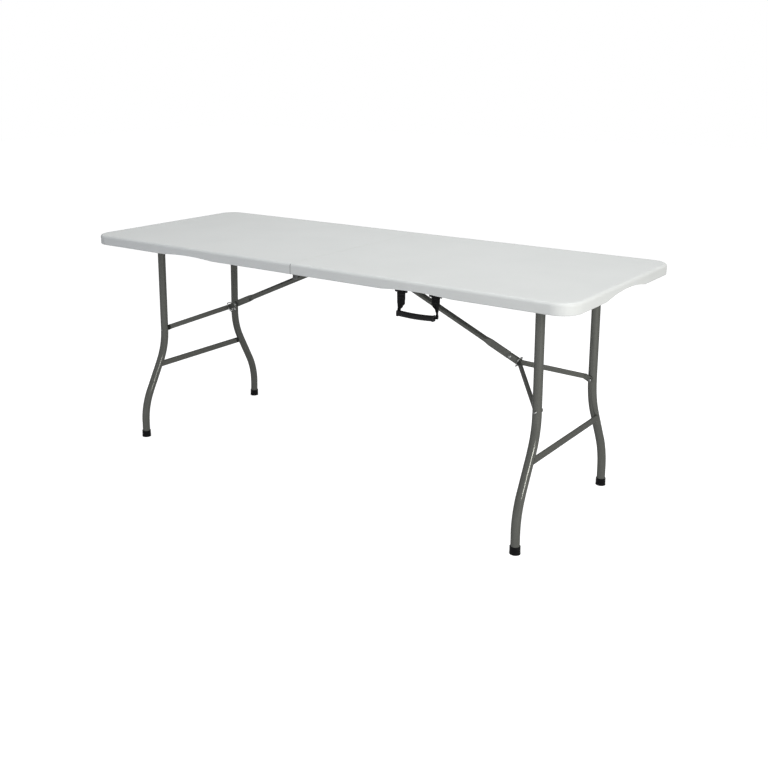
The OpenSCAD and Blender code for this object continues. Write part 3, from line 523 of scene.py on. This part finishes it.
pin_low, pin_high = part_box("handle_pins")
pin_y = (pin_low[1] + pin_high[1]) / 2
pin_z = (pin_low[2] + pin_high[2]) / 2


def strap_middle(side):
    """Where the middle of a strap is along the table."""
    low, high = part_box("handle_strap_" + side)
    if side == "left":
        return low[0] + webbing_width / 2
    return high[0] - webbing_width / 2


def edges_at(drop, table):
    """Where a strap's edges are, eased between the entries of its table."""
    for upper, lower in zip(table, table[1:]):
        if drop <= lower[0]:
            share = max(0, (drop - upper[0]) / (lower[0] - upper[0]))
            share = share * share * (3 - 2 * share)
            return [a + (b - a) * share for a, b in zip(upper[1:], lower[1:])]
    return table[-1][1:]


def strap_line(run):
    """Depth and height of the strap's middle, run metres from its sewn end."""
    start_y = loop_radius * math.cos(loop_start)
    start_z = loop_radius * math.sin(loop_start)
    if run < sewn_length:
        share = run / sewn_length
        return sewn_gap + (start_y - sewn_gap) * share, start_z - (sewn_length - run)
    run -= sewn_length
    if run < loop_run:
        angle = loop_start + run / loop_radius
        return loop_radius * math.cos(angle), loop_radius * math.sin(angle)
    run -= loop_run
    share = min(1, run / (sewn_length + parting_length))
    return -start_y * (1 - share), start_z - run


def threads(direction, scale):
    """The rise and fall of the threads that run across that direction."""
    wave = webbing_tree.nodes.new("ShaderNodeTexWave")
    wave.bands_direction = direction
    wave.inputs["Scale"].default_value = scale
    wave.inputs["Distortion"].default_value = thread_waver
    webbing_tree.links.new(webbing_uv, wave.inputs["Vector"])
    return wave.outputs["Fac"]


def finished_piece(name, build, finish):
    """A smooth object made of a bmesh, which is freed."""
    mesh = bpy.data.meshes.new(name)
    build.to_mesh(mesh)
    build.free()
    for face in mesh.polygons:
        face.use_smooth = True
    mesh.materials.append(finish)
    piece = bpy.data.objects.new(name, mesh)
    bpy.context.collection.objects.link(piece)
    return piece


webbing, webbing_tree, webbing_paint = new_finish("black_webbing")
webbing_uv = webbing_tree.nodes.new("ShaderNodeTexCoord").outputs["UV"]
crossing = reckon(webbing_tree, "MULTIPLY", threads("X", weft_scale), threads("Y", warp_scale))
set_colour(webbing_tree, webbing_paint, crossing, weave_black, weave_grey)
raise_surface(webbing_tree, webbing_paint, crossing, weave_height)
set_roughness(webbing_tree, webbing_paint, crossing, (0, 1), weave_roughness)
webbing_paint.inputs["Specular IOR Level"].default_value = 0.08
webbing_paint.inputs["Sheen Weight"].default_value = 0.03
webbing_paint.inputs["Sheen Roughness"].default_value = 0.5

# The length from the sewn end, round the pin, to where the strap hangs lowest.
loop_run = loop_radius * loop_turn
strap_run = sewn_length + loop_run + strap_drop + loop_radius * math.sin(loop_start)

# A flat sheet, one unit square, is laid along each strap point by point.
for side, table in strap_edges.items():
    middle = strap_middle(side)
    build = bmesh.new()
    build.loops.layers.uv.new("weave")
    bmesh.ops.create_grid(
        build, x_segments=steps_across, y_segments=steps_along, size=0.5, calc_uvs=True
    )
    for vert in build.verts:
        across = vert.co.x
        run = (vert.co.y + 0.5) * strap_run
        depth, height = strap_line(run)
        drop = max(0, -height) if run > sewn_length else 0
        left_edge, right_edge = edges_at(drop, table)
        width = right_edge - left_edge
        slack = math.sqrt(max(0, 1 - (width / webbing_width) ** 2))
        fold = pleat_depth * slack * math.cos(math.pi * 2 * pleats * across)
        vert.co = Vector((
            middle + (left_edge + right_edge) / 2 + across * width,
            pin_y + depth + fold,
            pin_z + height,
        ))
    bmesh.ops.recalc_face_normals(build, faces=build.faces)
    strap = finished_piece("carry_strap_" + side, build, webbing)
    cloth = strap.modifiers.new("gauge", "SOLIDIFY")
    cloth.thickness = webbing_gauge
    cloth.offset = 0
    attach(strap, "carry_handle")
    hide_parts("handle_strap_" + side)


# ---- Strap stitching ----
# Two rows of polyester thread through both layers of each strap, close under
# the pin, pulled slightly into the webbing.

stitch_size = (0.0026, 0.0006, 0.00072)
stitch_pitch = 0.0034
stitch_rows = (0.0085, 0.0185)
stitches_in_row = 7
strap_faces = (-0.0019, 0.0017)
thread_black = (0.02, 0.02, 0.022, 1)
thread_grey = (0.07, 0.07, 0.074, 1)
thread_roughness = 0.55
twist_pitch = 0.0006
twist_height = 0.00008

# The straps' two faces draw together below the pin, by this share per metre.
strap_closing = 9

thread, thread_tree, thread_paint = new_finish("black_thread")
twist = noise_of(thread_tree, object_space(thread_tree), twist_pitch, detail=1)
set_colour(thread_tree, thread_paint, twist, thread_black, thread_grey)
raise_surface(thread_tree, thread_paint, twist, twist_height)
thread_paint.inputs["Roughness"].default_value = thread_roughness

build = bmesh.new()
for side in strap_edges:
    middle = strap_middle(side)
    for row in stitch_rows:
        for face_y in strap_faces:
            for number in range(stitches_in_row):
                place = (
                    middle + (number - (stitches_in_row - 1) / 2) * stitch_pitch,
                    pin_y + face_y * (1 - row * strap_closing),
                    pin_z - row,
                )
                bmesh.ops.create_uvsphere(
                    build, u_segments=8, v_segments=6, radius=0.5,
                    matrix=Matrix.Translation(place) @ Matrix.Diagonal((*stitch_size, 1)),
                )
stitches = finished_piece("strap_stitches", build, thread)
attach(stitches, "carry_handle")


# ---- Carry grip ----
# A soft black moulded tube with ribs round its middle and a square flange at
# each end, through which the webbing runs. It sags a little between the straps.

grip_start = 0.3728
grip_end = 0.4928
grip_sag = 0.0026
grip_tilt = 0.0012
flange_length = 0.0042
flange_round = 0.0006
rib_pitch = 0.0044
rib_lead = 0.1
edge_radius = 0.0002
steps_round = 40

# Half sizes of the section, and how square it is there.
flange_face, flange_size, flange_squareness = 0.0078, 0.0088, 5
root_squareness = 4
groove_size, rib_size, rib_squareness = 0.0075, 0.0080, 2.8
bore_size, bore_squareness = 0.0044, 2.2

grip_black = (0.0045, 0.0045, 0.005, 1)
grip_handled = (0.012, 0.012, 0.013, 1)
grip_roughness = (0.36, 0.5)
leather_pitch = 0.0009
leather_height = 0.00008
palm_pitch = 0.02
palm_range = (0.35, 0.7)

grip_rubber, grip_tree, grip_paint = new_finish("black_grip_moulding")
grip_space = object_space(grip_tree)
leathery = noise_of(grip_tree, grip_space, leather_pitch, detail=3, roughness=0.6)
handled = noise_of(grip_tree, grip_space, palm_pitch, detail=2)
greyed = spread(grip_tree, handled, palm_range)
set_colour(grip_tree, grip_paint, greyed, grip_black, grip_handled)
raise_surface(grip_tree, grip_paint, leathery, leather_height)
set_roughness(grip_tree, grip_paint, handled, usual_noise, grip_roughness)
grip_paint.inputs["Specular IOR Level"].default_value = 0.12

grip_length = grip_end - grip_start
ribbed_length = grip_length - 2 * flange_length
ribs = int(ribbed_length / rib_pitch)

# The outside from one end to the other, then back through the bore: place
# along the grip, half size and squareness.
flange = [
    (0.0, flange_face, flange_squareness),
    (flange_round, flange_size, flange_squareness),
    (flange_length - flange_round, flange_size, flange_squareness),
    (flange_length, rib_size, root_squareness),
]
rib = [(0.0004, groove_size), (0.0010, rib_size), (0.0030, rib_size), (0.0036, groove_size)]
grip_profile = list(flange)
for number in range(ribs):
    rib_place = flange_length + (number + rib_lead) * ribbed_length / ribs
    grip_profile += [(rib_place + step, size, rib_squareness) for step, size in rib]
grip_profile += [(grip_length - place, *section) for place, *section in reversed(flange)]
grip_profile += [(end, bore_size, bore_squareness) for end in (grip_length, 0.0)]
grip_low, grip_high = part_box("handle_grip")
grip_z = (grip_low[2] + grip_high[2]) / 2


def grip_ring(verts, place, size, squareness):
    """Puts a ring of vertices on the grip's section at that place."""
    share = place / grip_length
    sag = grip_sag * math.sin(math.pi * share) + grip_tilt * (1 - share)
    for number, vert in enumerate(verts):
        angle = 2 * math.pi * number / len(verts)
        c, s = math.cos(angle), math.sin(angle)
        reach = size / (abs(c) ** squareness + abs(s) ** squareness) ** (1 / squareness)
        vert.co = (grip_start + place, pin_y + reach * c, grip_z - sag + reach * s)


def edges_round(build, ring):
    """The edges that close the ring of vertices."""
    return [build.edges.get(pair) for pair in zip(ring, ring[1:] + ring[:1])]


build = bmesh.new()
first = bmesh.ops.create_circle(build, cap_ends=False, radius=1, segments=steps_round)["verts"]
grip_ring(first, *grip_profile[0])
ring = first
for station in grip_profile[1:]:
    grown = bmesh.ops.extrude_edge_only(build, edges=edges_round(build, ring))["geom"]
    fresh = {part for part in grown if isinstance(part, bmesh.types.BMVert)}
    neighbours = [[edge.other_vert(vert) for edge in vert.link_edges] for vert in ring]
    ring = [next(vert for vert in near if vert in fresh) for near in neighbours]
    grip_ring(ring, *station)
bmesh.ops.bridge_loops(build, edges=edges_round(build, first) + edges_round(build, ring))
bmesh.ops.recalc_face_normals(build, faces=build.faces)
grip = finished_piece("carry_grip", build, grip_rubber)
rounded = grip.modifiers.new("moulded_edges", "BEVEL")
rounded.width = edge_radius
rounded.segments = 2
rounded.limit_method = "ANGLE"
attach(grip, "carry_handle")
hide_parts("handle_grip")
